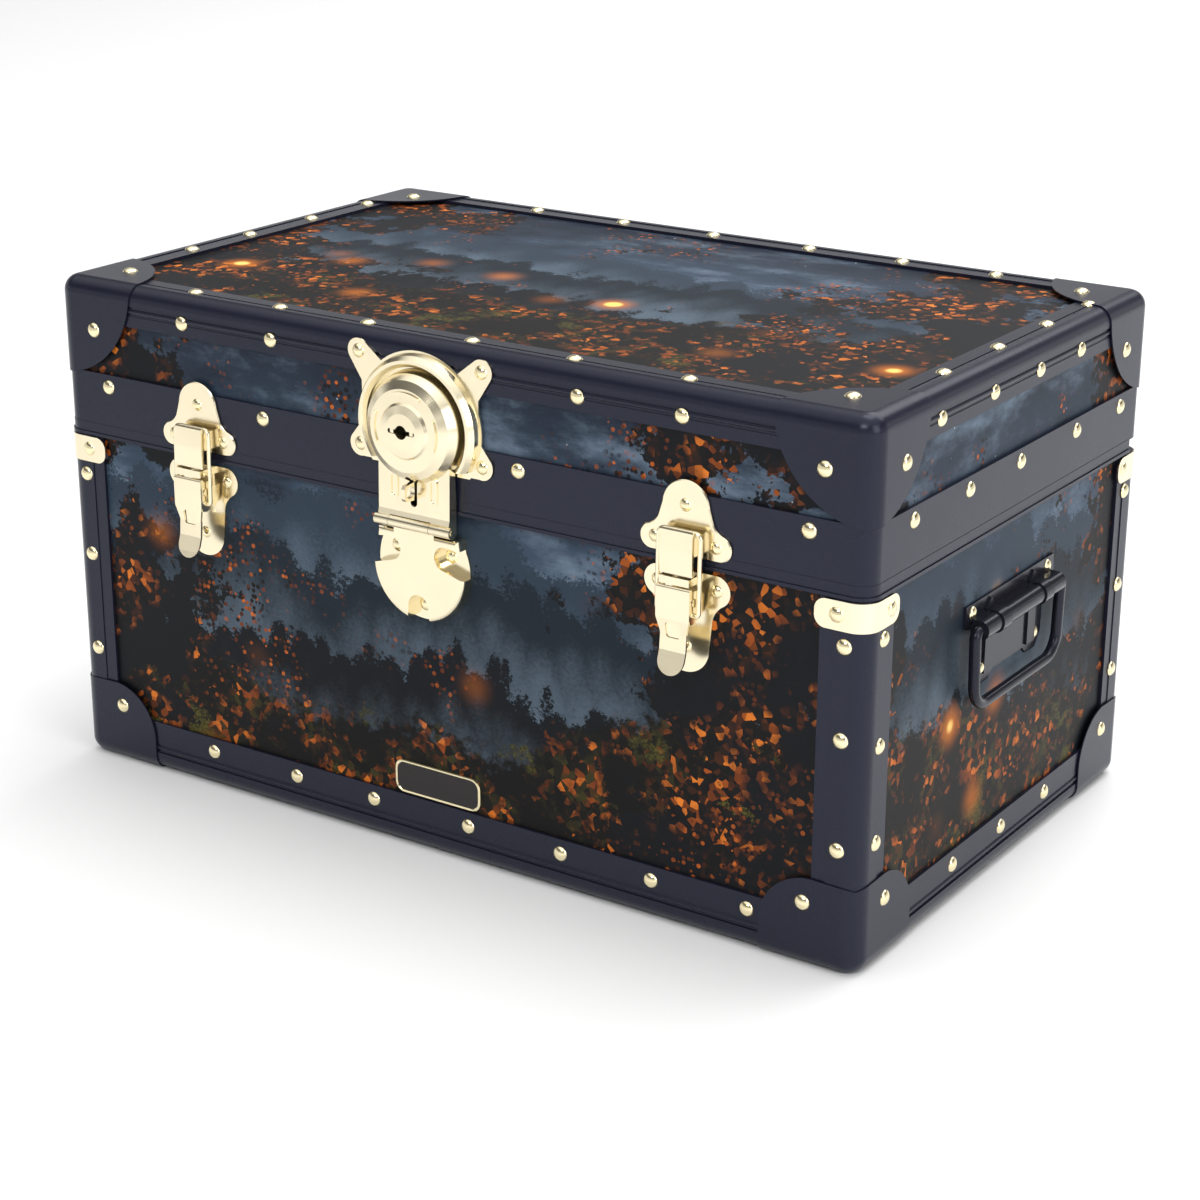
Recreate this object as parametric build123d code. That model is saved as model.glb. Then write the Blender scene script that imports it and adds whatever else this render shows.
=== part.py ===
"""A school tuck box: a covered plywood trunk with black edging and brass fittings.

Millimetres, +Z up, origin under the middle of the whole outline, front towards -Y.
Offsets named "off" are measured outwards from the covered panels.
"""
from build123d import *
import math
import os

os.makedirs("parts", exist_ok=True)

# Overall sizes
LENGTH = 508.0
DEPTH = 312.0
HEIGHT = 282.0
SEAM_Z = 200.0
SEAM_GAP = 0.2
PLY = 6.0
SKIN = 2.2
CAP = 0.8
CORNER_R = 8.0
EDGE_R = 5.8
FIT = 0.05
RUN = 0.08

# Planes that the covered panels reach
PS = LENGTH / 2 - SKIN - CAP
PF = DEPTH / 2 - SKIN - CAP
TOP = HEIGHT - SKIN - CAP
BASE = SKIN + CAP

# Edging, posts, band and caps
EDGE_FLANGE = 22.0
LID_FACE = 22.0
BASE_FACE = 29.0
EDGE_STOP = EDGE_FLANGE - SKIN + 0.4
POST_W = 26.0
POST_LOW = 30.0
LIP_Z = 193.5
BAND_TOP = 230.0
BAND_T = 2.0
LIP_GAP = 0.6
LIP_T = 1.6
CLAMP_LOW = 178.0
CLAMP_W = 28.5
CLAMP_H = 14.6
LID_CAP_R = 54.0
BASE_CAP_W = 55.0
BASE_CAP_H = 48.0

# Back hinges and lid stay
HINGE_OFF = 5.2
HINGE_R = 3.0
HINGE_PIN_R = 1.5
HINGE_X = 150.0
HINGE_W = 60.0
LEAF = 1.2
STAY_R = 90.0
STAY_UP = 10.0
STAY_DOWN = 35.0
STAY_PIN_R = 2.5
STAY_T = 2.0
STAY_W = 13.0
LID_OPEN = 95.0

# Toggle latches
LATCH_X = 154.0
SHEET = 1.2
STRIKE_OFF = 2.3
WIRE_R = 1.25
LEVER_OFF = 10.0
LEVER_Z = 178.5
LINK_OFF = 9.2
LINK_Z = 171.55
BAR_OFF = 8.3
BAR_Z = 212.5
LEG_X = 11.7
LEVER_W = 9.5
BRACKET_W = 7.4
PIVOT_R = 1.5

# Hasp lock
LOCK_X = -4.0
LOCK_Z = 237.0
DISC_R = 29.3
RING_IN = 30.9
RING_OUT = 38.5
DOME_OFF = 19.2
EAR_X = 38.5
EAR_UP = 270.2
EAR_LOW = 221.4
HASP_OFF = 9.5
HASP_Z = 186.0
HASP_PIN_R = 1.6
HASP_R = 3.2
NECK_W = 22.5
PAN_R = 29.0
PAN_Z = 162.0
PAN_OFF = 7.7
CAM_R = 5.0
STAPLE_OFF = 18.2

# End handles
GRIP_Z = 148.0
GRIP_OFF = 6.6
SLEEVE_R = 5.2
ROD_R = 3.0
BAIL_W = 50.0
BAIL_LOW = 104.0
PLATE_T = 1.5

# Half of the difference between how far the front and back fittings stand out
SHIFT_Y = (DOME_OFF - HINGE_OFF - HINGE_R) / 2


def box(x0, x1, y0, y1, z0, z1):
    size = Box(x1 - x0, y1 - y0, z1 - z0)
    return Pos((x0 + x1) / 2, (y0 + y1) / 2, (z0 + z1) / 2) * size


def poly(points):
    """A flat polygon whose face always looks the same way."""
    pts = list(points)
    twice = sum(a[0] * b[1] - b[0] * a[1] for a, b in zip(pts, pts[1:] + pts[:1]))
    if twice < 0:
        pts.reverse()
    return Polygon(*pts, align=None)


def front(sketch, off0, off1):
    """A sketch in x and z, carried out from the front panel."""
    return extrude(Plane.XZ.offset(PF + off0) * sketch, off1 - off0)


def rod_x(off, z, r, x0, x1):
    """A round bar along X in front of the front panel."""
    place = Plane(origin=(x0, -PF - off, z), x_dir=(0, 1, 0), z_dir=(1, 0, 0))
    return extrude(place * Circle(r), x1 - x0)


def side_prism(points, x0, x1):
    """A profile given as (off, z) points in front of the front panel, along X."""
    flat = poly([(-PF - off, z) for off, z in points])
    return extrude(Plane.YZ.offset(x0) * flat, x1 - x0)


def web(a, b):
    """Two discs and the straight tangents that join them."""
    (ax, ay, ar), (bx, by, br) = a, b
    gap = math.hypot(bx - ax, by - ay)
    lean = math.acos((ar - br) / gap)
    head = math.atan2(by - ay, bx - ax)
    pts = []
    turns = ((ax, ay, ar, lean), (bx, by, br, lean), (bx, by, br, -lean), (ax, ay, ar, -lean))
    for cx, cy, r, turn in turns:
        pts.append((cx + r * math.cos(head + turn), cy + r * math.sin(head + turn)))
    shape = poly(pts)
    shape += Pos(ax, ay) * Circle(ar)
    shape += Pos(bx, by) * Circle(br)
    return shape


def ring(off0, off1, z0, z1):
    """A wall round the trunk between two offsets from the panels."""
    outer = RectangleRounded(2 * (PS + off1), 2 * (PF + off1), CORNER_R + off1)
    inner = RectangleRounded(2 * (PS + off0), 2 * (PF + off0), CORNER_R + off0)
    return extrude(Pos(0, 0, z0) * (outer - inner), z1 - z0)


def block(off, low, high, rounded):
    """The trunk's outer form at an offset, with its top or bottom edges rounded."""
    outline = RectangleRounded(2 * (PS + off), 2 * (PF + off), CORNER_R + off)
    solid = extrude(Pos(0, 0, low) * outline, high - low)
    if rounded == "top":
        edges = solid.faces().sort_by(Axis.Z)[-1].edges()
    else:
        edges = solid.faces().sort_by(Axis.Z)[0].edges()
    return fillet(edges, EDGE_R + off)


def save(name, *solids):
    moved = [Pos(0, SHIFT_Y, 0) * piece for piece in solids]
    if len(moved) == 1:
        whole = moved[0]
    else:
        whole = Compound([s for piece in moved for s in piece.solids()])
    export_step(whole, os.path.join("parts", name + ".step"))


# Case and lid panels
IN_X = PS - PLY
IN_Y = PF - PLY
case_form = block(0, BASE, SEAM_Z - SEAM_GAP, "bottom")
lid_form = block(0, SEAM_Z + SEAM_GAP, TOP, "top")
case_low = BASE + PLY
lid_high = TOP - PLY
far = PS + 20
deep = PF + 20
save("case_bottom", case_form & box(-far, far, -deep, deep, BASE, case_low))
save("lid_top", lid_form & box(-far, far, -deep, deep, lid_high, TOP))
for part, form, z0, z1 in (("case", case_form, case_low, SEAM_Z), ("lid", lid_form, SEAM_Z, lid_high)):
    save(part + "_front", form & box(-far, far, -deep, -IN_Y, z0, z1))
    save(part + "_back", form & box(-far, far, IN_Y, deep, z0, z1))
    save(part + "_left", form & box(-far, -IN_X, -IN_Y, IN_Y, z0, z1))
    save(part + "_right", form & box(IN_X, far, -IN_Y, IN_Y, z0, z1))


# Edging: a rounded moulding with a groove, a bead and a flat nailed flange
def moulding(face_len, up):
    def flip(points):
        return [(p, q if up else -q) for p, q in points]

    bend = flip([(0, 0), (EDGE_FLANGE, 0), (EDGE_FLANGE, SKIN), (SKIN, SKIN), (SKIN, face_len), (0, face_len)])
    shape = poly(bend)
    corner = shape.vertices().sort_by_distance((0, 0))[0]
    shape = fillet(corner, EDGE_R + SKIN)
    inner = shape.vertices().sort_by_distance((SKIN, SKIN if up else -SKIN))[0]
    shape = fillet(inner, EDGE_R)
    cuts = (((-1, 10.4), (0.9, face_len + 1)), ((10.6, -1), (EDGE_FLANGE + 1, 0.8)))
    for (p0, q0), (p1, q1) in cuts:
        shape -= poly(flip([(p0, q0), (p1, q0), (p1, q1), (p0, q1)]))
    steps = (((0.45, 15.8), (1.2, face_len)), ((13.6, 0.35), (EDGE_FLANGE, 1.2)))
    for (p0, q0), (p1, q1) in steps:
        shape += poly(flip([(p0, q0), (p1, q0), (p1, q1), (p0, q1)]))
    sign = 1 if up else -1
    shape += Pos(1.5, sign * 13.2) * Circle(1.5)
    shape += Pos(12.1, sign * 1.2) * Circle(0.9)
    out_p = EDGE_FLANGE + 9
    out_q = face_len + 9
    behind = poly(flip([(SKIN, SKIN), (out_p, SKIN), (out_p, out_q), (SKIN, out_q)]))
    behind_corner = behind.vertices().sort_by_distance((SKIN, SKIN * sign))[0]
    return shape - fillet(behind_corner, EDGE_R)


SIDES = (
    ("front", (0, 1, 0), (1, 0, 0), PF, PS),
    ("back", (0, -1, 0), (-1, 0, 0), PF, PS),
    ("right", (-1, 0, 0), (0, 1, 0), PS, PF),
    ("left", (1, 0, 0), (0, -1, 0), PS, PF),
)
for part, face_len, up, z in (("lid", LID_FACE, False, TOP + SKIN), ("base", BASE_FACE, True, BASE - SKIN)):
    profile = moulding(face_len, up)
    for name, inward, along, plane, reach in SIDES:
        half = reach - EDGE_STOP
        start = Vector(inward) * (-plane - SKIN) + Vector(along) * (-half) + Vector(0, 0, z)
        place = Plane(origin=start, x_dir=inward, z_dir=along)
        save(part + "_edging_" + name, extrude(place * profile, 2 * half))

# Corner posts and the clamps over their tops
CORNERS = (("front_right", 1, -1), ("front_left", -1, -1), ("back_right", 1, 1), ("back_left", -1, 1))
post_wall = ring(0, SKIN, POST_LOW, LIP_Z - 0.5)
post_wall -= ring(SKIN - 0.5, SKIN + 1, POST_LOW - 1, LIP_Z) & (
    box(-far, far, -PF + POST_W - 10, PF - POST_W + 10, 0, HEIGHT)
    + box(-PS + POST_W - 10, PS - POST_W + 10, -deep, deep, 0, HEIGHT)
)


def span(lo, hi, sign):
    return (lo, hi) if sign > 0 else (-hi, -lo)


clamp_wall = ring(SKIN, SKIN + CAP, CLAMP_LOW, CLAMP_LOW + CLAMP_H)
clamps = []
for name, sx, sy in CORNERS:
    x0, x1 = span(PS + SKIN - POST_W, far, sx)
    y0, y1 = span(PF + SKIN - POST_W, deep, sy)
    save("post_" + name, post_wall & box(x0, x1, y0, y1, 0, HEIGHT))
    outline = RectangleRounded(2 * CLAMP_W, CLAMP_H, 6.0)
    middle = CLAMP_LOW + CLAMP_H / 2
    flank_x = sx * (PS + SKIN)
    flank_y = sy * (PF + SKIN)
    face_y = Plane(origin=(flank_x, flank_y - 11, middle), x_dir=(1, 0, 0), z_dir=(0, 1, 0)) * outline
    face_x = Plane(origin=(flank_x - 11, flank_y, middle), x_dir=(0, 1, 0), z_dir=(1, 0, 0)) * outline
    clamps.append(clamp_wall & (extrude(face_y, 22) + extrude(face_x, 22)))
save("corner_clamps", *clamps)

# Lid band, with the lip that hangs over the case at the front and the ends
band = ring(0, BAND_T, SEAM_Z + 2 * SEAM_GAP, BAND_TOP)
lip = ring(LIP_GAP, LIP_GAP + LIP_T, LIP_Z, SEAM_Z + 1)
lip += ring(LIP_GAP + LIP_T - 0.3, LIP_GAP + LIP_T + 0.7, LIP_Z + 0.2, LIP_Z + 2.0)
lip -= box(-far, far, PF - 12, deep, 0, HEIGHT)
save("lid_band", band + lip)

# Lid corner caps: pressed shells that end in a round outline
cap_z = HEIGHT - 70
cap_form = block(SKIN + CAP, cap_z, HEIGHT, "top") - block(SKIN, cap_z - 1, HEIGHT - CAP, "top")
ball = Pos(LENGTH / 2, -DEPTH / 2, HEIGHT) * Sphere(LID_CAP_R)
lid_cap = cap_form & box(PS - 70, far, -deep, -PF + 70, cap_z + 1, HEIGHT + 1) & ball


# Case corner caps: pressed shells with a lobe on each face
def lobe(width, height):
    rise = height - 3.5
    curve = Curve() + [
        Line((-5, -5), (width, -5)),
        Line((width, -5), (width, 0.33 * height)),
        ThreePointArc((width, 0.33 * height), (0.86 * width, 0.8 * height), (0.49 * width, height)),
        Line((0.49 * width, height), (0.22 * width, height - 0.4)),
        ThreePointArc((0.22 * width, height - 0.4), (0.08 * width, height - 1.6), (0, rise)),
        Line((0, rise), (-5, rise)),
        Line((-5, rise), (-5, -5)),
    ]
    return make_face(curve)


base_form = block(SKIN + CAP, 0, 70, "bottom") - block(SKIN, CAP, 71, "bottom")
grip = SKIN + CAP + CORNER_R
lobe_v = lobe(BASE_CAP_W, BASE_CAP_H)
lobe_h = lobe(BASE_CAP_W, BASE_CAP_W)
vertex = (LENGTH / 2, -DEPTH / 2, 0)
fronts = extrude(Plane(origin=vertex, x_dir=(-1, 0, 0), z_dir=(0, 1, 0)) * lobe_v, grip)
sides = extrude(Plane(origin=vertex, x_dir=(0, 1, 0), z_dir=(1, 0, 0)) * lobe_v, -grip)
under = extrude(Plane(origin=vertex, x_dir=(-1, 0, 0), z_dir=(0, 0, -1)) * lobe_h, -grip)
base_cap = base_form & box(PS - 70, far, -deep, -PF + 70, -1, 69) & (fronts + sides + under)
for part, cap in (("lid_cap_", lid_cap), ("base_cap_", base_cap)):
    for name, sx, sy in CORNERS:
        piece = cap
        if sx < 0:
            piece = mirror(piece, about=Plane.YZ)
        if sy > 0:
            piece = mirror(piece, about=Plane.XZ)
        save(part + name, piece)

# Back hinges: leaves with curled knuckles on one pin each
hinge_y = PF + HINGE_OFF


def back_prism(points, x0, x1):
    flat = poly([(PF + off, z) for off, z in points])
    return extrude(Plane.YZ.offset(x0) * flat, x1 - x0)


def back_rod(r, x0, x1):
    place = Plane(origin=(x0, hinge_y, SEAM_Z), x_dir=(0, 1, 0), z_dir=(1, 0, 0))
    return extrude(place * Circle(r), x1 - x0)


knuckles = 3
pitch = HINGE_W / knuckles
pins = []
case_leaves = []
lid_leaves = []
for hx in (-HINGE_X, HINGE_X):
    left = hx - HINGE_W / 2
    case_leaf = back_prism([(0, 170), (LEAF, 170), (LEAF, 195.6), (0, 195.6)], left, left + HINGE_W)
    leaf_out = BAND_T + LEAF
    lid_leaf = back_prism([(BAND_T, 203.4), (leaf_out, 203.4), (leaf_out, 227), (BAND_T, 227)], left, left + HINGE_W)
    for i in range(knuckles):
        x0 = left + i * pitch + 0.1
        x1 = left + (i + 1) * pitch - 0.1
        knuckle = back_rod(HINGE_R, x0, x1)
        if i % 2 == 0:
            jog = [(0, 193), (LEAF, 193), (4.2, 197.3), (3.3, 199.6), (2.6, 199.2), (0, 195.6)]
            case_leaf += knuckle + back_prism(jog, x0, x1)
        else:
            jog = [(BAND_T, 204), (2.5, 200.6), (3.5, 200.4), (BAND_T + LEAF, 204)]
            lid_leaf += knuckle + back_prism(jog, x0, x1)
    case_leaves.append(case_leaf - back_rod(HINGE_PIN_R + FIT, left - 1, left + HINGE_W + 1))
    lid_leaves.append(lid_leaf - back_rod(HINGE_PIN_R + RUN, left - 1, left + HINGE_W + 1))
    heads = back_rod(2.4, left - 1.2, left - 0.2) + back_rod(2.4, left + HINGE_W + 0.2, left + HINGE_W + 1.2)
    pins.append(back_rod(HINGE_PIN_R, left - 1.0, left + HINGE_W + 1.0) + heads)
save("hinge_leaves_case", *case_leaves)
save("hinge_leaves_lid", *lid_leaves)
save("hinge_pins", *pins)

# Lid stay: a slotted arm that hangs from the lid and slides over a pin in the case.
# Both pins lie on one circle about the hinge, so the arm turns half as far as the lid.
up = math.radians(STAY_UP)
down = math.radians(STAY_DOWN)
stay_p = (hinge_y - STAY_R * math.cos(up), SEAM_Z + STAY_R * math.sin(up))
stay_a = (hinge_y - STAY_R * math.cos(down), SEAM_Z - STAY_R * math.sin(down))
shut_len = 2 * STAY_R * math.sin((up + down) / 2)
open_len = 2 * STAY_R * math.sin((up + down + math.radians(LID_OPEN)) / 2)


def stud(at):
    def disc(r, x0, x1):
        place = Plane(origin=(x0, at[0], at[1]), x_dir=(0, 1, 0), z_dir=(1, 0, 0))
        return extrude(place * Circle(r), x1 - x0)

    return disc(STAY_PIN_R + 2.2, -IN_X, -IN_X + 1.2) + disc(STAY_PIN_R, -IN_X, -IN_X + 4.6) + disc(
        STAY_PIN_R + 1.8, -IN_X + 3.6, -IN_X + 5.2
    )


save("stay_pin_lid", stud(stay_p))
save("stay_pin_case", stud(stay_a))
tail = open_len + STAY_W / 2 + 2
arm = web((0, 0, STAY_W / 2), (tail, 0, STAY_W / 2)) - Circle(STAY_PIN_R + RUN)
slot_r = STAY_PIN_R + 0.15
arm -= web((shut_len - 1, 0, slot_r), (open_len + 0.6, 0, slot_r))
arm_dir = (0, stay_a[0] - stay_p[0], stay_a[1] - stay_p[1])
arm_place = Plane(origin=(-IN_X + 1.4, stay_p[0], stay_p[1]), x_dir=arm_dir, z_dir=(1, 0, 0))
save("lid_stay", extrude(arm_place * arm, STAY_T))

# Toggle latches
bell = Curve() + [
    ThreePointArc((-13.2, 224.2), (0, 236.4), (13.2, 224.2)),
    Line((13.2, 224.2), (15.2, 217.6)),
    ThreePointArc((15.2, 217.6), (17.4, 213.8), (21.4, 211.4)),
    ThreePointArc((21.4, 211.4), (25.6, 204.2), (19.0, 198.5)),
    Line((19.0, 198.5), (-19.0, 198.5)),
    ThreePointArc((-19.0, 198.5), (-25.6, 204.2), (-21.4, 211.4)),
    ThreePointArc((-21.4, 211.4), (-17.4, 213.8), (-15.2, 217.6)),
    Line((-15.2, 217.6), (-13.2, 224.2)),
]
strike = make_face(bell)
strike -= Pos(0, 196.4) * Rectangle(17, 6)
strike_plate = front(strike, STRIKE_OFF, STRIKE_OFF + SHEET)
strike_plate = chamfer(strike_plate.faces().sort_by(Axis.Y)[0].outer_wire().edges(), 0.5)
wall = STRIKE_OFF + SHEET
bar_in = BAR_OFF + WIRE_R + 0.75
lip_out = bar_in + SHEET
floor_z = BAR_Z - WIRE_R - 0.25
hook = side_prism(
    [(wall - 0.3, 201.2), (bar_in - 0.4, 201.2), (bar_in - 0.1, 191.2), (lip_out, 191.2),
     (lip_out + 0.5, 202.8), (lip_out, 213.0), (lip_out - 0.3, 213.6), (bar_in + 0.2, 213.6),
     (bar_in, 213.0), (bar_in - 0.9, floor_z), (wall - 0.3, floor_z)],
    -9.2, 9.2)
strike_whole = strike_plate + hook
vase = Curve() + [
    Line((-17.4, 190.8), (17.4, 190.8)),
    ThreePointArc((17.4, 190.8), (24.3, 183.2), (19.8, 175.6)),
    ThreePointArc((19.8, 175.6), (15.6, 170.6), (14.4, 165.2)),
    Line((14.4, 165.2), (13.0, 150.6)),
    ThreePointArc((13.0, 150.6), (0, 138.8), (-13.0, 150.6)),
    Line((-13.0, 150.6), (-14.4, 165.2)),
    ThreePointArc((-14.4, 165.2), (-15.6, 170.6), (-19.8, 175.6)),
    ThreePointArc((-19.8, 175.6), (-24.3, 183.2), (-17.4, 190.8)),
]
base = make_face(vase)
base_plate = front(base, 0, SHEET)
ear_top = LEVER_Z + 2.8
ear_shape = [(SHEET, 168.5), (LEVER_OFF - 4, 171), (LEVER_OFF, LEVER_Z - 2.8), (LEVER_OFF, ear_top),
             (6.9, ear_top), (5.9, 179.6), (SHEET, 179.6)]
bracket = Part()
for sign in (-1, 1):
    x0, x1 = span(BRACKET_W - SHEET, BRACKET_W, sign)
    ear = side_prism(ear_shape, x0, x1) + rod_x(LEVER_OFF, LEVER_Z, 2.8, x0, x1)
    bracket += ear
    x0, x1 = span(8.5 - SHEET, 8.5, sign)
    cheek = [(SHEET, 186.6), (13.2, 186.6), (13.2, 190.4), (SHEET, 190.4)]
    bracket += side_prism(cheek, x0, x1)
bracket += side_prism([(12.0, 186.6), (13.2, 186.6), (13.2, 190.4), (12.0, 190.4)], -8.5, 8.5)
bracket += side_prism([(SHEET, 168.5), (SHEET + 0.8, 168.5), (SHEET + 0.8, 190.6), (SHEET, 190.6)], -7.4, 7.4)
bracket -= rod_x(LEVER_OFF, LEVER_Z, PIVOT_R + FIT, -9, 9)
pivot = rod_x(LEVER_OFF, LEVER_Z, PIVOT_R, -10.1, 10.1)
pivot += rod_x(LEVER_OFF, LEVER_Z, 2.1, -10.15, -9.65) + rod_x(LEVER_OFF, LEVER_Z, 2.1, 9.65, 10.15)
skin_pts = [(14.2, 184.6), (14.2, 169), (12.9, 161), (13.6, 153), (16.2, 145), (17.6, 139)]
back_pts = [(16.4, 139), (15.0, 145), (12.4, 153), (11.7, 161), (13.0, 169), (13.0, 184.6)]
lever = side_prism(skin_pts + back_pts, -LEVER_W, LEVER_W)
tab = poly([(-LEVER_W, 190), (-LEVER_W, 170), (-7.4, 162), (-7.4, 149), (7.4, 149), (7.4, 162),
              (LEVER_W, 170), (LEVER_W, 190)])
tab += Pos(0, 149) * Circle(7.4)
tab -= Pos(0, 163.5) * RectangleRounded(8.4, 8.0, 1.8)
lever = lever & front(tab, 0, 30)
lever += rod_x(13.0, 184.6, 1.2, -LEVER_W, LEVER_W)
cheek = [(13.4, 184.6), (13.4, 168.2), (10.0, 167.4), (6.4, 168.6), (6.0, 172), (7.2, 184.2)]
for sign in (-1, 1):
    x0, x1 = span(LEVER_W - 1.0, LEVER_W, sign)
    lever += side_prism(cheek, x0, x1)
lever -= rod_x(LEVER_OFF, LEVER_Z, PIVOT_R + RUN, -LEVER_W - 1, LEVER_W + 1)
lever -= rod_x(LINK_OFF, LINK_Z, WIRE_R + RUN, -LEVER_W - 1, LEVER_W + 1)
link_len = math.hypot(BAR_OFF - LINK_OFF, BAR_Z - LINK_Z)
rise = Vector(0, -(BAR_OFF - LINK_OFF), BAR_Z - LINK_Z).normalized()
link_place = Plane(origin=(0, -PF - LINK_OFF, LINK_Z), x_dir=(1, 0, 0), z_dir=Vector(1, 0, 0).cross(rise))
loop = FilletPolyline(
    (-8.3, 0), (-LEG_X, 0), (-LEG_X, link_len), (LEG_X, link_len), (LEG_X, 0), (8.3, 0), radius=[1.7, 3.4, 3.4, 1.7])
loop = link_place * loop
link = sweep(Plane(origin=loop @ 0, z_dir=loop % 0) * Circle(WIRE_R), path=loop)
for name, x in (("left", -LATCH_X), ("right", LATCH_X)):
    save("latch_strike_" + name, Pos(x, 0, 0) * strike_whole)
    save("latch_plate_" + name, Pos(x, 0, 0) * base_plate)
    save("latch_bracket_" + name, Pos(x, 0, 0) * bracket)
    save("latch_pin_" + name, Pos(x, 0, 0) * pivot)
    save("latch_lever_" + name, Pos(x, 0, 0) * lever)
    save("latch_link_" + name, Pos(x, 0, 0) * link)

# Hasp lock, drawn about x = 0 and then moved to its place
lock_at = Pos(LOCK_X, 0, 0)
low_cut = 216.0
plate_top = EAR_UP - 5.2
plate_foot = 215.0
body = Pos(0, LOCK_Z) * Circle(RING_OUT)
body += Pos(0, (plate_top + plate_foot) / 2) * Rectangle(2 * 36.6, plate_top - plate_foot)
for ex in (-EAR_X, EAR_X):
    for ez in (EAR_UP, EAR_LOW):
        body += web((ex, ez, 6.6), (ex * 0.74, ez + (LOCK_Z + 6 - ez) * 0.4, 9.0))
body -= Pos(0, low_cut - 26) * Rectangle(100, 52 - 4)
body += Pos(0, 212) * Rectangle(17, 25)
plate = front(body, STRIKE_OFF, STRIKE_OFF + 1.0)


def turned(profile):
    """A profile given as (r, off) points, turned about the lock's axis."""
    flat = poly(profile)
    place = Plane(origin=(0, -PF, LOCK_Z), x_dir=(1, 0, 0), z_dir=(0, 0, 1))
    spun = revolve(Plane(origin=(0, -PF, LOCK_Z), x_dir=(1, 0, 0), z_dir=(0, 0, -1)) * flat,
                   axis=Axis((0, -PF, LOCK_Z), (0, 1, 0)), revolution_arc=360)
    return spun


foot = STRIKE_OFF + 0.6
dome = turned([(RING_IN, foot), (RING_OUT - 1.2, foot), (RING_OUT - 2.0, 6.6), (34.6, 9.4), (32.8, 9.4),
               (RING_IN, 7.4)])
dome -= box(-60, 60, -PF - 30, -PF + 5, 0, low_cut + 2)
plate += dome
keeper = front(Pos(21.5, LOCK_Z) * Rectangle(5.0, 12.0), STRIKE_OFF + 0.9, 6.4)
keeper -= front(Pos(20.3, LOCK_Z) * Rectangle(4.0, 14.0), STRIKE_OFF + 1.0, 5.4)
plate += keeper
staple_z = 204.6
staple = [(STRIKE_OFF + 1.0, 199.6), (10, 199.6), (STAPLE_OFF - 1.2, 200.4), (STAPLE_OFF, 202), (STAPLE_OFF, 207),
          (STAPLE_OFF - 1.2, 208.6), (10, 209.4), (STRIKE_OFF + 1.0, 209.4)]
tab_solid = side_prism(staple, -1.2, 1.2)
eye = Plane.YZ.offset(-3) * (Pos(-PF - 13.5, staple_z) * RectangleRounded(6.6, 6.2, 3.0))
tab_solid -= extrude(eye, 6)
save("lock_plate", lock_at * plate)
save("lock_staple", lock_at * tab_solid)

# Hasp: a pressed disc and neck on a hinge at its foot
skin_out = [(0, DOME_OFF), (9.5, 18.8), (13.6, 17.6), (14.8, 16.3), (21.6, 16.0), (25.6, 13.8), (28.2, 9.6), (DISC_R, 4.2)]
skin_in = [(28.0, 4.2), (26.9, 9.2), (24.7, 12.8), (21.2, 14.8), (14.2, 15.1), (12.8, 16.5), (9.2, 17.6), (0, 18.0)]
disc = turned(skin_out + skin_in)
for first, sweep_by in ((62, 56), (158, 44), (-22, 44)):
    arc = SlotArc(CenterArc((0, 0), 19.4, first, sweep_by), 1.7)
    disc += front(Pos(0, LOCK_Z) * arc, 15.5, 17.0)
neck_top = LOCK_Z - 18.0
neck_face = [(7.7, neck_top), (8.9, neck_top), (9.6, 192.0), (10.6, 188.2), (9.6, 187.6), (8.4, 191.8)]
neck = side_prism(neck_face, -NECK_W, NECK_W)
flank = [(4.4, neck_top - 3), (8.6, neck_top), (9.2, 192), (9.2, 183.4), (6.0, 181.6), (3.9, 184.0), (3.7, 200)]
for sign in (-1, 1):
    x0, x1 = span(NECK_W - SHEET, NECK_W, sign)
    neck += side_prism(flank, x0, x1)
inner_clear = front(Pos(0, LOCK_Z) * Circle(DISC_R - 1.2), 0, 20)
hasp = disc + (neck - inner_clear)
for x0, x1 in ((-NECK_W - 1.5, -15.0), (11.0, NECK_W + 1.5)):
    hasp += rod_x(HASP_OFF, HASP_Z, HASP_R, x0, x1)
for sx in (-1, 1):
    rib = web((sx * 12.5, 201, 2.6), (sx * 12.5, 210, 2.6)) - web((sx * 12.5, 201.4, 1.5), (sx * 12.5, 209.6, 1.5))
    hasp += front(rib, 8.3, 9.9)
hasp -= front(web((0, 197.8, 2.1), (0, 210.8, 2.1)), 0, 25)
hasp -= rod_x(HASP_OFF, HASP_Z, HASP_PIN_R + RUN, -40, 40)
hasp -= box(-14.9, 10.9, -PF - 14, -PF - 4, 180, HASP_Z + HASP_R + 0.25)
key = Pos(0, LOCK_Z) * Circle(3.6) + Pos(0, LOCK_Z) * RectangleRounded(16.6, 2.4, 1.1)
hasp -= front(key, 17.0, 22)
collar = front(Pos(0, LOCK_Z) * (Circle(CAM_R + 2.2) - Circle(CAM_R + RUN)), 5.4, 18.4)
hasp += collar
save("hasp", lock_at * hasp)
cam = front(Pos(0, LOCK_Z) * Circle(CAM_R), 5.2, 6.8)
cam += front(web((0, LOCK_Z, 7.4), (0, LOCK_Z - 18.4, 3.4)), 3.9, 5.25)
cam -= front(Pos(0, LOCK_Z) * RectangleRounded(8.0, 2.0, 0.9), 5.6, 8)
save("lock_cam", lock_at * cam)
hasp_pin = rod_x(HASP_OFF, HASP_Z, HASP_PIN_R, -NECK_W - 1.9, NECK_W + 1.9)
save("hasp_pin", lock_at * hasp_pin)

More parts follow.
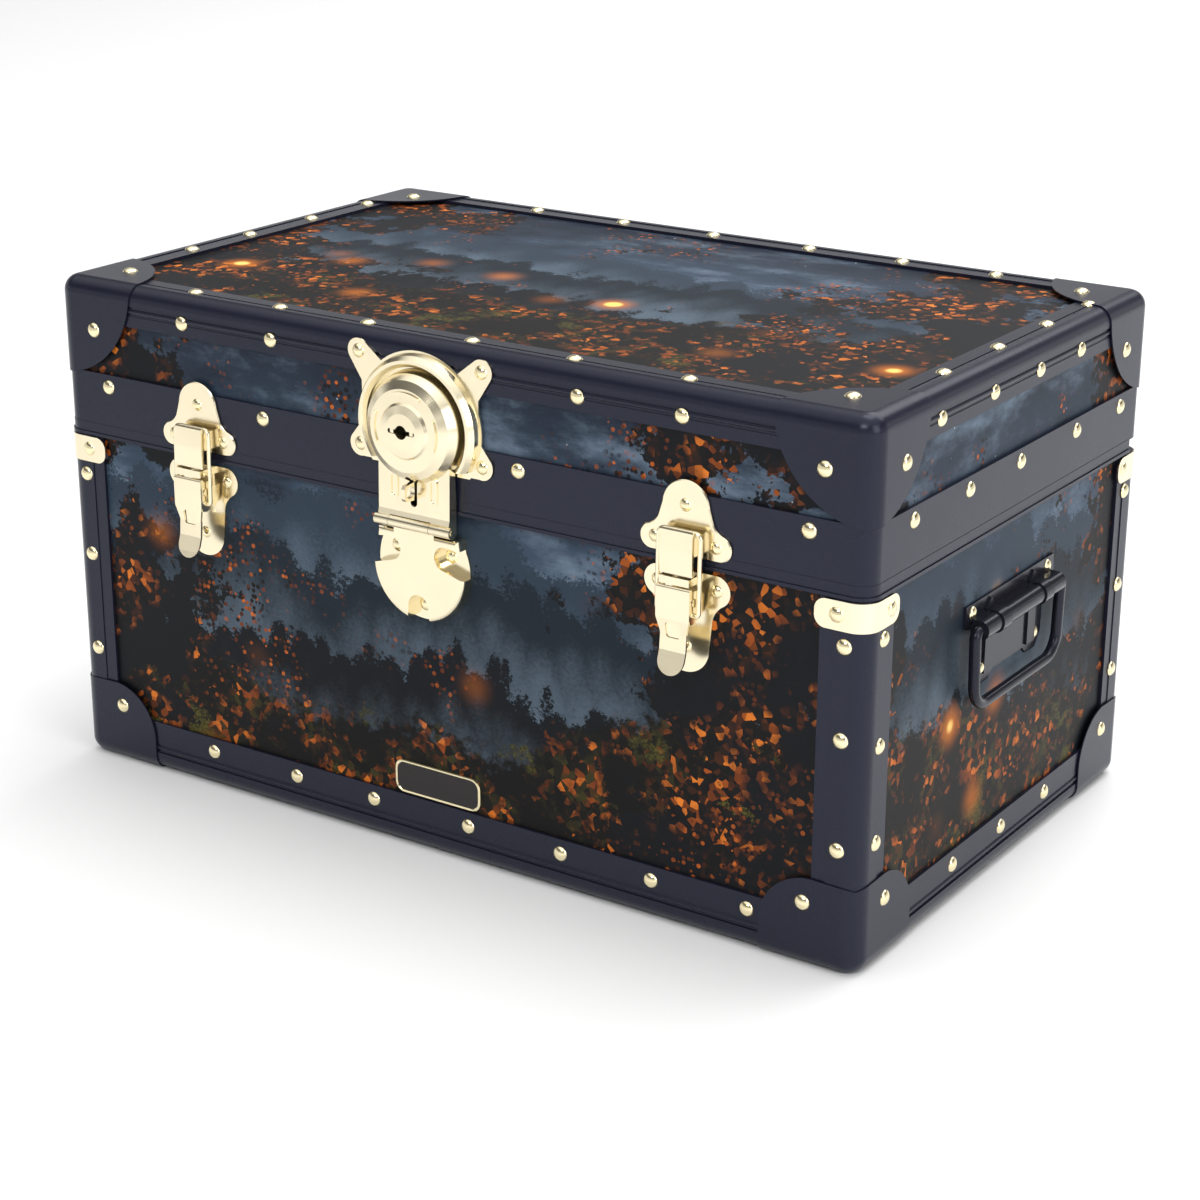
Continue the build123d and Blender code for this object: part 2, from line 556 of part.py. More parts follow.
# Lower lock plate: a pan with three recessed rivet seats
pan_top = 181.0
pan = Pos(0, PAN_Z) * Circle(PAN_R)
pan += poly([(-28.0, 163), (-25.5, pan_top), (25.5, pan_top), (28.0, 163)])
pan -= Pos(0, 200) * Rectangle(90, 38)
shell = front(pan, 0, PAN_OFF)
shell = fillet(shell.faces().sort_by(Axis.Y)[0].outer_wire().edges(), 2.4)
pressed = shell
hollow = Pos(0, PAN_Z) * Circle(PAN_R - 2.6) + Pos(0, 171) * Rectangle(43, 15)
hollow -= Pos(0, 200) * Rectangle(90, 43)
shell -= front(hollow, -1, PAN_OFF - SHEET)
for sx, sz, dx, dz in ((-17.2, 170.2, -1, -0.2), (17.2, 170.2, 1, -0.2), (0, 141.2, 0, -1)):
    run = 16
    seat = web((sx, sz, 6.4), (sx + dx * run, sz + dz * run, 7.6))
    cup = web((sx, sz, 7.6), (sx + dx * run, sz + dz * run, 8.8))
    shell += front(cup, 0, PAN_OFF - 0.6) & pressed
    shell -= front(seat, 1.4, PAN_OFF + 1)
curl = rod_x(HASP_OFF, HASP_Z, HASP_R, -14.8, 10.8)
curl += side_prism([(6.4, 176), (PAN_OFF, 176), (PAN_OFF, 184), (6.4, 186.2)], -14.8, 10.8)
shell += curl
shell -= rod_x(HASP_OFF, HASP_Z, HASP_PIN_R + FIT, -40, 40)
save("lock_pan", lock_at * shell)


# End handles: a plate, a rolled sleeve and a hanging D-shaped bail
def end_face(sketch, off0, off1):
    """A sketch in y and z, carried out from the right-hand end."""
    return extrude(Plane.YZ.offset(PS + off0) * sketch, off1 - off0)


def rod_y(off, z, r, y0, y1):
    place = Plane(origin=(PS + off, y0, z), x_dir=(1, 0, 0), z_dir=(0, 1, 0))
    return extrude(place * Circle(r), y1 - y0)


badge = poly([(-51, 160.6), (51, 160.6), (51, 149), (39, 146), (39, 122), (33, 114), (22, 114), (18, 118),
                (-18, 118), (-22, 114), (-33, 114), (-39, 122), (-39, 146), (-51, 149)])
handle_plate = end_face(badge, 0, PLATE_T)
for sy in (-25, 25):
    strap = poly([(sy - 4.5, 119), (sy + 4.5, 119), (sy + 4.5, 154), (sy, 159), (sy - 4.5, 154)])
    handle_plate += end_face(strap, PLATE_T - 0.2, PLATE_T + 1.2)
    clasp = rod_y(GRIP_OFF, GRIP_Z, SLEEVE_R + 0.9, sy - 4.5, sy + 4.5)
    handle_plate += clasp & box(PS + PLATE_T, PS + 30, -99, 99, GRIP_Z - 20, GRIP_Z + 20)
sleeve = rod_y(GRIP_OFF, GRIP_Z, SLEEVE_R, -45.5, 45.5)
sleeve += box(PS + PLATE_T - 0.2, PS + GRIP_OFF, -45.5, 45.5, GRIP_Z + SLEEVE_R - 1.3, GRIP_Z + SLEEVE_R)
handle_plate += sleeve
handle_plate -= rod_y(GRIP_OFF, GRIP_Z, ROD_R + RUN, -60, 60)
bail_line = FilletPolyline(
    (PS + GRIP_OFF, -34, GRIP_Z), (PS + GRIP_OFF, -BAIL_W, GRIP_Z), (PS + GRIP_OFF, -BAIL_W + 2, BAIL_LOW + ROD_R),
    (PS + GRIP_OFF, BAIL_W - 2, BAIL_LOW + ROD_R), (PS + GRIP_OFF, BAIL_W, GRIP_Z), (PS + GRIP_OFF, 34, GRIP_Z),
    radius=[3.6, 13.0, 13.0, 3.6])
bail = sweep(Plane(origin=bail_line @ 0, z_dir=bail_line % 0) * Circle(ROD_R), path=bail_line)
half_turn = Rot(0, 0, 180)
save("handle_plate_right", handle_plate)
save("handle_bail_right", bail)
save("handle_plate_left", half_turn * handle_plate)
save("handle_bail_left", half_turn * bail)
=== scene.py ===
"""Looks for the tuck box, built round its fixed frame. Metres, in the frame of the CAD."""
import math

import bpy
from mathutils import Matrix, Vector


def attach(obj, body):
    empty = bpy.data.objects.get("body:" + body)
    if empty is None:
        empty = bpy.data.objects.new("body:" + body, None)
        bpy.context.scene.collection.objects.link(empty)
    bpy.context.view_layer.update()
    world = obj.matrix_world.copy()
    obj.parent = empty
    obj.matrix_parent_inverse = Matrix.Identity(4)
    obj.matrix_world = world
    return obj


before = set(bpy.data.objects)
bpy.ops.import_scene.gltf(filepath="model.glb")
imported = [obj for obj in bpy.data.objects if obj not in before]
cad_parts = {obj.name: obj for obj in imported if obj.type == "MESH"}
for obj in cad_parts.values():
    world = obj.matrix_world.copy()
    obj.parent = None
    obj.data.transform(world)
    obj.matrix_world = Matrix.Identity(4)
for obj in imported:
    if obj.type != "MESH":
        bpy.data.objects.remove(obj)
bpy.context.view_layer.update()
MM = 0.001

# Sizes shared with the CAD, in millimetres from the middle of the trunk
SHIFT_Y = 5.5  # how far the trunk's middle lies behind the frame's origin
PANEL_X = 251.0  # outer face of the end panels
PANEL_Y = 153.0  # outer face of the front and back panels
PANEL_TOP = 279.0  # outer face of the lid's top panel
HEIGHT = 282.0
LOCK_X = -4.0
LATCH_X = 154.0
HINGE_X = 150.0

# How far the pieces stand out from the panels, in millimetres
POST = 2.2
FLANGE = 1.75
BAND = 2.0
CAP = 3.0


# ---------------------------------------------------------------- node helpers
GRAIN_DEPTH = 0.0002  # of every bump, in metres


def fill_ramp(node, stops):
    items = node.color_ramp.elements
    while len(items) < len(stops):
        items.new(0.5)
    for item, (pos, color) in zip(items, stops):
        item.position = pos
        item.color = (*color, 1.0)


class Tree:
    """A short way to write a material's node tree."""

    def __init__(self, name):
        self.mat = bpy.data.materials.new(name)
        self.mat.use_nodes = True
        self.nt = self.mat.node_tree
        self.nt.nodes.clear()
        self.bsdf = self.new("BsdfPrincipled")
        self.nt.links.new(self.bsdf.outputs[0], self.new("OutputMaterial").inputs[0])
        self.coord = self.new("TexCoord").outputs["Object"]

    def new(self, kind):
        return self.nt.nodes.new("ShaderNode" + kind)

    def put(self, socket, value):
        if isinstance(value, bpy.types.NodeSocket):
            self.nt.links.new(value, socket)
        elif isinstance(value, tuple):
            socket.default_value = (*value, 1.0)
        else:
            socket.default_value = value

    def set(self, **values):
        for key, value in values.items():
            self.put(self.bsdf.inputs[key.replace("_", " ")], value)

    def math(self, op, *values):
        n = self.new("Math")
        n.operation = op
        for socket, value in zip(n.inputs, values):
            self.put(socket, value)
        return n.outputs[0]

    def add(self, a, b):
        return self.math("ADD", a, b)

    def sub(self, a, b):
        return self.math("SUBTRACT", a, b)

    def mul(self, a, b):
        return self.math("MULTIPLY", a, b)

    def scaled(self, value, factor, offset):
        return self.math("MULTIPLY_ADD", value, factor, offset)

    def xyz(self, vec):
        n = self.new("SeparateXYZ")
        self.put(n.inputs[0], vec)
        return tuple(n.outputs)

    def vec(self, x, y, z):
        n = self.new("CombineXYZ")
        for socket, value in zip(n.inputs, (x, y, z)):
            self.put(socket, value)
        return n.outputs[0]

    def noise(self, vec, scale, detail, rough):
        n = self.new("TexNoise")
        self.put(n.inputs["Vector"], vec)
        n.inputs["Scale"].default_value = scale
        n.inputs["Detail"].default_value = detail
        n.inputs["Roughness"].default_value = rough
        return n.outputs[0]

    def cells(self, vec, scale):
        """Voronoi cells: the distance from each cell's middle, and its three random values."""
        n = self.new("TexVoronoi")
        self.put(n.inputs["Vector"], vec)
        n.inputs["Scale"].default_value = scale
        return n.outputs["Distance"], self.xyz(n.outputs["Color"])

    def ramp(self, fac, stops):
        n = self.new("ValToRGB")
        self.put(n.inputs[0], fac)
        fill_ramp(n, stops)
        return n.outputs[0]

    def step(self, value, lo, hi):
        n = self.new("MapRange")
        n.interpolation_type = "SMOOTHSTEP"
        self.put(n.inputs[0], value)
        n.inputs[1].default_value = lo
        n.inputs[2].default_value = hi
        return n.outputs[0]

    def mix(self, fac, a, b):
        n = self.new("Mix")
        n.data_type = "RGBA"
        self.put(n.inputs[0], fac)
        self.put(n.inputs[6], a)
        self.put(n.inputs[7], b)
        return n.outputs[2]

    def bump(self, height, strength):
        n = self.new("Bump")
        n.inputs["Strength"].default_value = strength
        n.inputs["Distance"].default_value = GRAIN_DEPTH
        self.put(n.inputs["Height"], height)
        self.nt.links.new(n.outputs[0], self.bsdf.inputs["Normal"])


# ---------------------------------------------------------------- plain materials
COATING_TINT = (0.78, 0.83, 1.0)


def shade(color, factor):
    return tuple(c * factor for c in color)


def satin(name, color, rough, grain=0.06):
    """A smooth coating with a fine grain and slightly uneven gloss."""
    t = Tree(name)
    fleck = t.noise(t.coord, 900.0, 2.0, 0.6)
    tone = t.ramp(fleck, ((0.3, shade(color, 0.86)), (0.7, shade(color, 1.14))))
    cloud = t.noise(t.coord, 14.0, 2.0, 0.5)
    t.set(Base_Color=tone, Roughness=t.scaled(cloud, 0.12, rough - 0.06),
          Specular_IOR_Level=0.32, Specular_Tint=COATING_TINT)
    t.bump(fleck, grain)
    return t.mat


def metal(name, color, rough):
    """Bare metal, a little cloudy and finely pitted."""
    t = Tree(name)
    cloud = t.noise(t.coord, 60.0, 3.0, 0.6)
    fleck = t.noise(t.coord, 700.0, 2.0, 0.6)
    tone = t.ramp(cloud, ((0.25, shade(color, 0.93)), (0.75, color)))
    t.set(Base_Color=tone, Metallic=1.0, Roughness=t.scaled(cloud, 0.10, rough - 0.05))
    t.bump(fleck, 0.03)
    return t.mat


# ---------------------------------------------------------------- the print
# Colours from the foot of the sky to its top
SKY = ((0.0, (0.120, 0.165, 0.220)), (0.42, (0.100, 0.145, 0.200)),
       (0.62, (0.036, 0.060, 0.096)), (1.0, (0.005, 0.009, 0.019)))
HAZE = (0.150, 0.205, 0.275)
NIGHT = (0.004, 0.008, 0.016)
STAR = (0.80, 0.84, 0.88)
MIST = (0.120, 0.165, 0.215)

# Each ridge: mean height, swing, waves across, bushes across and colour
RIDGES = ((0.66, 0.16, 4.0, 46.0, (0.022, 0.038, 0.060)),
          (0.53, 0.18, 6.0, 58.0, (0.007, 0.014, 0.023)),
          (0.38, 0.17, 7.5, 76.0, (0.002, 0.004, 0.007)))

# Leaves take one of these colours each, most of them dark
GROUND_LEAF = ((0.0, (0.002, 0.002, 0.002)), (0.36, (0.009, 0.008, 0.004)),
               (0.54, (0.034, 0.030, 0.007)), (0.70, (0.060, 0.018, 0.004)),
               (0.86, (0.240, 0.050, 0.006)), (1.0, (0.620, 0.160, 0.018)))
TREE_LEAF = ((0.0, (0.002, 0.002, 0.003)), (0.50, (0.006, 0.005, 0.004)),
             (0.74, (0.050, 0.014, 0.004)), (0.90, (0.300, 0.066, 0.008)),
             (1.0, (0.700, 0.190, 0.020)))
LOOSE_LEAF = ((0.0, (0.004, 0.003, 0.003)), (0.45, (0.012, 0.006, 0.004)),
              (0.70, (0.140, 0.030, 0.005)), (1.0, (0.520, 0.120, 0.014)))
MOSS = ((0.35, (0.004, 0.005, 0.001)), (0.68, (0.110, 0.095, 0.018)))
SOIL = (0.003, 0.003, 0.003)
SHADE = (0.003, 0.004, 0.006)
GLOW = (0.80, 0.22, 0.015)
FLAME = (1.0, 0.66, 0.18)
PAPER = ((0.3, (0.30, 0.29, 0.27)), (0.7, (0.38, 0.37, 0.34)))


class Print(Tree):
    """A made-up print: hazy ridges with round bushes, foliage and rust leaves, small lights.

    u and v are the axes across and up the panel, and lo and hi the print's lower and upper edge
    in metres. Each method from sky to lamps lays its part over what is there so far."""

    def __init__(self, name, u, v, lo, hi, seed):
        super().__init__(name)
        self.axes = self.xyz(self.coord)
        self.across = self.axes[u]
        self.up = self.axes[v]
        self.height = self.math("DIVIDE", self.sub(self.up, lo), hi - lo)
        self.seed = seed
        self.flat = self.plane(0.0)

    def plane(self, shift):
        """The panel's plane, laid through the textures at a depth of its own."""
        return self.vec(self.across, self.up, self.seed + shift)

    def waves(self, shift, scale):
        """A curve across the panel, the same at every height."""
        return self.noise(self.vec(self.across, 0.0, self.seed + shift), scale, 2.0, 0.5)

    def over(self, fac, color):
        self.color = self.mix(fac, self.color, color)

    def sky(self):
        """Slate blue with drifting haze, dark gaps and a few stars."""
        self.color = self.ramp(self.height, SKY)
        drawn_out = self.vec(self.mul(self.across, 0.45), self.up, self.seed + 3.1)
        haze = self.noise(drawn_out, 24.0, 6.0, 0.66)
        self.over(self.mul(self.step(haze, 0.48, 0.74), 0.9), HAZE)
        self.over(self.mul(self.step(haze, 0.50, 0.30), 0.85), NIGHT)
        distance, _ = self.cells(self.flat, 85.0)
        star = self.math("LESS_THAN", distance, 0.045)
        self.over(self.mul(self.mul(star, self.step(self.height, 0.72, 0.95)), 0.6), STAR)

    def ridges(self):
        """Each ridge is lower, darker and nearer than the last, with mist at its foot."""
        twigs = self.mul(self.sub(self.noise(self.flat, 420.0, 4.0, 0.75), 0.5), 0.13)
        for i, (base, swing, freq, bushes, tint) in enumerate(RIDGES):
            shift = 7.0 * i + 1.7
            squat = self.vec(self.across, self.mul(self.up, 0.55), self.seed + shift)
            distance, _ = self.cells(squat, bushes)
            crown = self.add(self.mul(self.sub(0.62, distance), 0.10), twigs)
            line = self.scaled(self.waves(shift, freq), swing * 2.0, base - swing)
            depth = self.sub(self.add(line, crown), self.height)
            fog = self.mul(self.step(depth, 0.05, 0.26), 0.80 - 0.16 * i)
            self.over(self.step(depth, 0.0, 0.010), self.mix(fog, tint, MIST))

    def ground(self):
        """Mottled olive, brown and rust leaves with patches of moss, up to a wavy edge."""
        rough_edge = self.mul(self.sub(self.noise(self.flat, 130.0, 4.0, 0.7), 0.5), 0.20)
        bank = self.add(self.mul(self.waves(31.0, 4.5), 0.66), rough_edge)
        _, random = self.cells(self.flat, 250.0)
        patch = self.step(self.noise(self.flat, 24.0, 5.0, 0.66), 0.44, 0.60)
        cover = self.mix(patch, SOIL, self.ramp(random[0], GROUND_LEAF))
        tufts = self.ramp(self.noise(self.flat, 620.0, 3.0, 0.7), MOSS)
        mossy = self.step(self.noise(self.plane(90.0), 19.0, 5.0, 0.7), 0.56, 0.64)
        cover = self.mix(mossy, cover, tufts)
        self.over(self.step(self.sub(bank, self.height), 0.0, 0.05), cover)

    def foliage(self, span):
        """Dark trees with rust leaves, thickest towards both sides, at span from the middle."""
        outward = self.math("ABSOLUTE", self.add(self.across, 0.02))
        thicker = self.mul(self.step(outward, 0.02, span), 0.26)
        mass = self.add(self.noise(self.plane(61.0), 15.0, 6.0, 0.72), thicker)
        _, random = self.cells(self.flat, 270.0)
        lit = self.step(self.noise(self.plane(67.0), 20.0, 3.0, 0.6), 0.46, 0.60)
        leaves = self.mix(lit, SHADE, self.ramp(random[0], TREE_LEAF))
        self.over(self.step(mass, 0.66, 0.675), leaves)

    def drifts(self):
        """Loose rust leaves, blown over the haze in drifts."""
        drift = self.step(self.noise(self.plane(53.0), 12.0, 4.0, 0.65), 0.52, 0.64)
        distance, random = self.cells(self.flat, 300.0)
        leaf = self.math("LESS_THAN", distance, 0.40)
        self.over(self.mul(leaf, drift), self.ramp(random[1], LOOSE_LEAF))

    def lamps(self):
        """A few small amber lights low down."""
        distance, random = self.cells(self.plane(71.0), 19.0)
        low = self.mul(self.step(self.height, 0.60, 0.42), self.step(self.height, 0.05, 0.14))
        here = self.mul(self.math("GREATER_THAN", random[2], 0.58), low)
        halo = self.math("POWER", self.step(distance, 0.40, 0.0), 2.2)
        self.over(self.mul(self.mul(halo, here), 0.8), GLOW)
        self.over(self.mul(self.step(distance, 0.12, 0.07), here), FLAME)

    def outer_face(self, axis, sign, limit):
        """Shows the print only beyond limit on one axis, and the paper lining elsewhere."""
        out = self.math("GREATER_THAN", self.mul(self.axes[axis], sign), limit * sign)
        lining = self.ramp(self.noise(self.coord, 500.0, 3.0, 0.6), PAPER)
        self.set(Base_Color=self.mix(out, lining, self.color),
                 Roughness=self.scaled(out, -0.30, 0.80), Specular_IOR_Level=0.16)
        self.bump(self.noise(self.coord, 1100.0, 2.0, 0.5), 0.05)


def printed(name, u, v, lo, hi, seed, face, span):
    t = Print(name, u, v, lo, hi, seed)
    t.sky()
    t.ridges()
    t.ground()
    t.foliage(span)
    t.drifts()
    t.lamps()
    t.outer_face(*face)
    return t.mat


X, Y, Z = 0, 1, 2
Y0 = SHIFT_Y * MM
TOP = HEIGHT * MM
FACE_X = PANEL_X * MM - 0.0004  # just under each outer face
FACE_Y = PANEL_Y * MM - 0.0004
FACE_TOP = PANEL_TOP * MM - 0.0004
LONG, SHORT = 0.25, 0.17  # spans of the long sides and the ends
BLACK = satin("edging_satin", (0.010, 0.011, 0.022), 0.27)
CAP_BLACK = satin("cap_satin", (0.010, 0.011, 0.022), 0.25, 0.03)
GLOSS = satin("handle_gloss", (0.010, 0.010, 0.015), 0.20, 0.02)
DARK = satin("works_dark", (0.010, 0.009, 0.008), 0.45)
BRASS = metal("pale_brass", (0.93, 0.83, 0.60), 0.20)
NAIL = metal("nail_brass", (0.98, 0.86, 0.55), 0.17)
STEEL = metal("stay_steel", (0.62, 0.62, 0.63), 0.34)
BY_SIDE = {
    "front": printed("print_front", X, Z, 0.0, TOP, 0.0, (Y, -1, Y0 - FACE_Y), LONG),
    "back": printed("print_back", X, Z, 0.0, TOP, 4.0, (Y, 1, Y0 + FACE_Y), LONG),
    "right": printed("print_right", Y, Z, 0.0, TOP, 9.0, (X, 1, FACE_X), SHORT),
    "left": printed("print_left", Y, Z, 0.0, TOP, 13.0, (X, -1, -FACE_X), SHORT),
    "top": printed("print_top", X, Y, Y0 - 0.150, Y0 + 0.150, 17.0, (Z, 1, FACE_TOP), LONG),
    "bottom": satin("base_cover", (0.020, 0.021, 0.024), 0.7),
}


def look_of(node):
    first, _, rest = node.partition("_")
    if first in ("case", "lid") and rest in BY_SIDE:
        return BY_SIDE[rest]
    if "edging" in node or first in ("post", "hinge") or node == "lid_band":
        return BLACK
    if "_cap_" in node:
        return CAP_BLACK
    if first == "handle":
        return GLOSS
    if first == "stay" or node == "lid_stay":
        return STEEL
    return DARK if node == "lock_cam" else BRASS


for node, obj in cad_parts.items():
    look = look_of(node)
    if len(obj.data.materials) == 0:
        obj.data.materials.append(look)
    for i in range(len(obj.data.materials)):
        obj.data.materials[i] = look


# ---------------------------------------------------------------- nails
RINGS, AROUND = 4, 18  # facets of a head, outwards and around


def dome(verts, faces, at, out, radius, rise):
    """Adds a low domed head, at a place in millimetres from the middle of the trunk."""
    out = Vector(out)
    side = out.orthogonal().normalized()
    other = out.cross(side)
    start = len(verts)
    centre = Vector(at)
    ball = (radius * radius + rise * rise) / (2 * rise)
    spokes = []
    for j in range(AROUND):
        a = 2 * math.pi * j / AROUND
        spokes.append(side * math.cos(a) + other * math.sin(a))
    verts.append(centre + out * rise)
    for k in range(1, RINGS + 1):
        r = radius * k / RINGS
        h = math.sqrt(ball * ball - r * r) - (ball - rise)
        verts.extend(centre + out * h + spoke * r for spoke in spokes)
    verts.extend(centre - out * 0.15 + spoke * radius for spoke in spokes)
    for j in range(AROUND):
        n = (j + 1) % AROUND
        faces.append((start, start + 1 + j, start + 1 + n))
        for k in range(RINGS):
            a = start + 1 + k * AROUND
            b = a + AROUND
            faces.append((a + j, b + j, b + n, a + n))


def mesh_piece(name, verts, faces, mat, body, smooth):
    mesh = bpy.data.meshes.new(name)
    mesh.from_pydata([(v[0] * MM, (v[1] + SHIFT_Y) * MM, v[2] * MM) for v in verts], [], faces)
    mesh.materials.append(mat)
    for poly in mesh.polygons:
        poly.use_smooth = smooth
    obj = bpy.data.objects.new(name, mesh)
    bpy.context.scene.collection.objects.link(obj)
    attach(obj, body)


FRONT, BACK, RIGHT, LEFT, UP = (0, -1, 0), (0, 1, 0), (1, 0, 0), (-1, 0, 0), (0, 0, 1)

# Radius and rise of each kind of head
EDGING_NAIL = (4.3, 2.0)
CLAMP_NAIL = (3.9, 1.6)
LOCK_RIVET = (3.7, 1.8)
HANDLE_RIVET = (3.6, 1.7)
LATCH_RIVET = (3.3, 1.5)
HINGE_RIVET = (3.0, 1.2)

# Heights of the rows
BASE_ROW = 21.6
BASE_CAP_ROW = 34.5
CLAMP_ROW = 185.6
BAND_ROW = 223.0
LID_CAP_ROW = 254.3
LID_ROW = 266.6
TOP_FLANGE = 280.85
lid_nails = []
case_nails = []


def face_nail(store, face, along, z, off, kind=EDGING_NAIL):
    if face in (FRONT, BACK):
        at = (along, face[1] * (PANEL_Y + off), z)
    else:
        at = (face[0] * (PANEL_X + off), along, z)
    store.append((at, face, kind))


def top_nail(x, y, z=TOP_FLANGE):
    lid_nails.append(((x, y, z), UP, EDGING_NAIL))


# The places are the photo's on the front, the right end and the top
for x in (-164.1, -102.5, 90.5, 150.0):
    face_nail(lid_nails, FRONT, x, LID_ROW, FLANGE)
for x in (-164.1, -102.5, -42.0, 20.0, 90.5, 150.0):
    face_nail(lid_nails, BACK, x, LID_ROW, FLANGE)
for x in (-164.9, -106.2, -47.6, 18.3, 80.0, 145.7):
    top_nail(x, -141.4)
for x in (-140.8, -77.9, -14.6, 50.0, 110.0, 168.0):
    top_nail(x, 141.4)
for y in (-89.0, -32.6, 19.3, 68.2):
    face_nail(lid_nails, RIGHT, y, LID_ROW, FLANGE)
    face_nail(lid_nails, LEFT, y, LID_ROW, FLANGE)
for y in (-62.0, -3.0, 53.7, 106.0):
    top_nail(239.2, y)
for y in (-62.0, -12.0, 44.0, 98.0):
    top_nail(-239.2, y)
for x in (-220.0, -109.5, 55.3, 220.0):
    face_nail(lid_nails, FRONT, x, BAND_ROW, BAND)
for x in (-220.0, -60.0, 60.0, 220.0):
    face_nail(lid_nails, BACK, x, BAND_ROW, BAND)
for y in (-113.0, -55.0, 1.9, 68.8, 124.9):
    face_nail(lid_nails, RIGHT, y, BAND_ROW, BAND)
    face_nail(lid_nails, LEFT, y, BAND_ROW, BAND)
for sx in (-1, 1):
    for sy, face in ((-1, FRONT), (1, BACK)):
        face_nail(lid_nails, face, sx * 227.7, LID_CAP_ROW, CAP)
        top_nail(sx * 225.5, sy * 127.1, HEIGHT)
        face_nail(case_nails, face, sx * 223.2, BASE_CAP_ROW, CAP)
        face_nail(case_nails, face, sx * 236.5, CLAMP_ROW, CAP, CLAMP_NAIL)
        for z in (66.2, 123.0, 170.2):
            face_nail(case_nails, face, sx * 240.5, z, POST)
    end = RIGHT if sx > 0 else LEFT
    for sy in (-1, 1):
        face_nail(lid_nails, end, sy * 125.4, LID_CAP_ROW, CAP)
        face_nail(case_nails, end, sy * 128.6, BASE_CAP_ROW, CAP)
        face_nail(case_nails, end, sy * 134.0, CLAMP_ROW, CAP, CLAMP_NAIL)
        for z in (67.4, 117.7, 171.9):
            face_nail(case_nails, end, sy * 139.0, z, POST)
    for y in (-52.0, 4.0, 58.0):
        face_nail(case_nails, end, y, BASE_ROW, FLANGE)
    for y, z in ((-43.5, 155.7), (43.5, 155.7), (-31.5, 122.5), (31.5, 122.5)):
        face_nail(case_nails, end, y, z, 1.5, HANDLE_RIVET)
for x in (-155.7, -95.5, -41.7, 21.3, 80.2, 135.4, 191.6):
    face_nail(case_nails, FRONT, x, BASE_ROW, FLANGE)
    face_nail(case_nails, BACK, x, BASE_ROW, FLANGE)

# Rivets of the lock, latches and hinges
for dx in (-38.5, 38.5):
    for z in (270.2, 221.4):
        face_nail(lid_nails, FRONT, LOCK_X + dx, z, 3.3, LOCK_RIVET)
for dx, z in ((-17.2, 170.2), (17.2, 170.2), (0.0, 141.2)):
    face_nail(case_nails, FRONT, LOCK_X + dx, z, 1.4, LOCK_RIVET)
for x in (-LATCH_X, LATCH_X):
    for dx, z in ((0.0, 224.0), (-17.2, 205.6), (17.2, 205.6)):
        face_nail(lid_nails, FRONT, x + dx, z, 3.5, LATCH_RIVET)
    for dx, z in ((-16.8, 183.0), (16.8, 183.0), (0.0, 152.0)):
        face_nail(case_nails, FRONT, x + dx, z, 1.2, LATCH_RIVET)
for x in (-HINGE_X, HINGE_X):
    for dx in (-20.0, 0.0, 20.0):
        face_nail(lid_nails, BACK, x + dx, 216.0, 3.2, HINGE_RIVET)
        face_nail(case_nails, BACK, x + dx, 181.0, 1.2, HINGE_RIVET)
for name, store, body in (("lid_nails", lid_nails, "lid"), ("case_nails", case_nails, "case")):
    verts, faces = [], []
    for at, out, kind in store:
        dome(verts, faces, at, out, *kind)
    mesh_piece(name, verts, faces, NAIL, body, True)


# ---------------------------------------------------------------- bare plate on the front
def rounded_outline(w, h, r, steps=6):
    pts = []
    corners = ((w / 2 - r, h / 2 - r), (r - w / 2, h / 2 - r),
               (r - w / 2, r - h / 2), (w / 2 - r, r - h / 2))
    for quarter, (cx, cz) in enumerate(corners):
        for k in range(steps + 1):
            a = math.radians(90 * (quarter + k / steps))
            pts.append((cx + r * math.cos(a), cz + r * math.sin(a)))
    return pts


PLATE_X, PLATE_Z = 1.0, 40.0


def stacked(name, layers, mat):
    """Loops of one outline, each given as (width, height, corner radius, offset from panel)."""
    verts, faces = [], []
    for w, h, r, off in layers:
        loop = rounded_outline(w, h, r)
        verts += [(PLATE_X + x, -PANEL_Y - off, PLATE_Z + z) for x, z in loop]
    n = len(loop)
    for k in range(len(layers) - 1):
        for j in range(n):
            m = (j + 1) % n
            faces.append((k * n + j, k * n + m, (k + 1) * n + m, (k + 1) * n + j))
    faces.append(tuple((len(layers) - 1) * n + j for j in range(n)))
    mesh_piece(name, verts, faces, mat, "case", False)


RIM = ((56, 19, 6.0, 0.0), (56, 19, 6.0, 0.9), (55, 18, 5.6, 1.2), (53.6, 16.6, 5.0, 1.2),
       (53, 16, 4.8, 0.9))
FIELD = ((53.2, 16.2, 4.9, 0.85), (53.2, 16.2, 4.9, 0.95))
stacked("bare_plate_rim", RIM, NAIL)
stacked("bare_plate_field", FIELD, satin("plate_field", (0.022, 0.018, 0.014), 0.30, 0.03))

# ---------------------------------------------------------------- stage, light and camera
floor_tree = Tree("floor_white")
floor_tree.set(Base_Color=(0.88, 0.88, 0.88), Roughness=0.7)
bpy.ops.mesh.primitive_plane_add(size=30, location=(0, 0, 0))
floor = bpy.context.object
floor.name = "floor"
floor.data.materials.append(floor_tree.mat)

